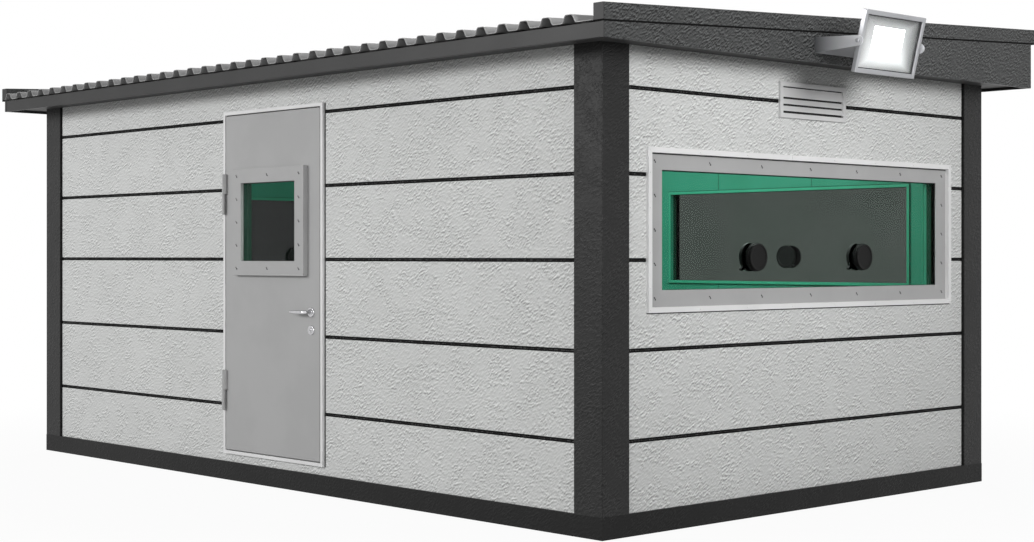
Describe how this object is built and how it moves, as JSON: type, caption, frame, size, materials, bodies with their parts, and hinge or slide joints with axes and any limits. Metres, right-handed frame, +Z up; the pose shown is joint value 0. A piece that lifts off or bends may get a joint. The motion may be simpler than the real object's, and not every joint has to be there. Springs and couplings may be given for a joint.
{
  "type": "security guard booth",
  "caption": "Rectangular guard booth with panel walls, dark corner posts, a mono-pitch ribbed roof, a steel door, fixed windows with round ports and a tilting floodlight.",
  "frame": {"origin": "middle of the footprint at ground level, on the underside of the floor", "axes": "+Z up, +X out of the end with the floodlight, -Y out of the side with the door"},
  "size_m": [6.0797, 3.7475, 2.6966],
  "materials": {
    "dark_trim": "embossed satin paint",
    "cladding": "stucco-embossed satin paint",
    "joint_strip": "matt",
    "wall_core": "matt",
    "lining": "satin paint",
    "floor": "matt sheet flooring",
    "soffit": "satin paint",
    "roof_sheet": "satin paint",
    "rafter": "zinc primer",
    "white_frame": "satin paint",
    "grey_steel": "satin paint",
    "clear_glass": "polished",
    "dark_glass": "polished, tinted",
    "port": "satin moulded",
    "vent": "satin moulded",
    "chrome": "polished",
    "lamp_metal": "satin die-cast",
    "lamp_glass": "polished"
  },
  "bodies": {
    "booth": {"base_frame": "dark_trim", "floor": "floor", "corner_post_front_door": "dark_trim", "corner_post_front_back": "dark_trim", "corner_post_rear_door": "dark_trim", "corner_post_rear_back": "dark_trim", "door_wall_left": "wall_core", "door_wall_right": "wall_core", "door_wall_head": "wall_core", "door_wall_sill": "wall_core", "front_wall": "wall_core", "rear_wall": "wall_core", "back_wall": "wall_core", "door_cladding": "cladding", "front_cladding": "cladding", "rear_cladding": "cladding", "back_cladding": "cladding", "joint_strips": "joint_strip", "wall_lining": "lining", "ceiling_deck": "soffit", "low_fascia": "dark_trim", "high_fascia": "dark_trim", "front_fascia": "dark_trim", "rear_fascia": "dark_trim", "front_verge_cap": "dark_trim", "rear_verge_cap": "dark_trim", "high_edge_cap": "dark_trim", "roof_rafters": "rafter", "roof_sheet": "roof_sheet", "front_window_frame": "white_frame", "front_window_flange": "grey_steel", "front_window_glass": "clear_glass", "front_window_ports": "port", "rear_window_frame": "white_frame", "rear_window_flange": "grey_steel", "rear_window_glass": "dark_glass", "rear_window_ports": "port", "back_window_frame": "white_frame", "back_window_flange": "grey_steel", "back_window_glass": "dark_glass", "back_window_port": "port", "vent_grille": "vent", "door_frame": "white_frame", "frame_hinges": "grey_steel", "floodlight_bracket": "lamp_metal"},
    "door": {"door_leaf": "grey_steel", "door_window_frame": "grey_steel", "door_window_glass": "clear_glass", "leaf_hinges": "grey_steel", "lock_roses": "chrome"},
    "lever": {"lever_handle": "chrome"},
    "floodlight": {"floodlight_bezel": "lamp_metal", "floodlight_glass": "lamp_glass", "floodlight_housing": "lamp_metal"}
  },
  "joints": [
    {"name": "door_hinge", "type": "hinge", "parent": "booth", "child": "door", "pos_m": [-0.467, -1.6545, 1], "axis": [0, 0, -1], "range_deg": [0, 100]},
    {"name": "lever_turn", "type": "hinge", "parent": "door", "child": "lever", "pos_m": [0.386, -1.64, 1.027], "axis": [0, -1, 0], "range_deg": [0, 40], "stiffness_Nm_per_rad": 0.6, "springref_deg": -5.73},
    {"name": "floodlight_tilt", "type": "hinge", "parent": "booth", "child": "floodlight", "pos_m": [3.132, 0, 2.434], "axis": [0, 1, 0], "range_deg": [-45, 60]}
  ]
}
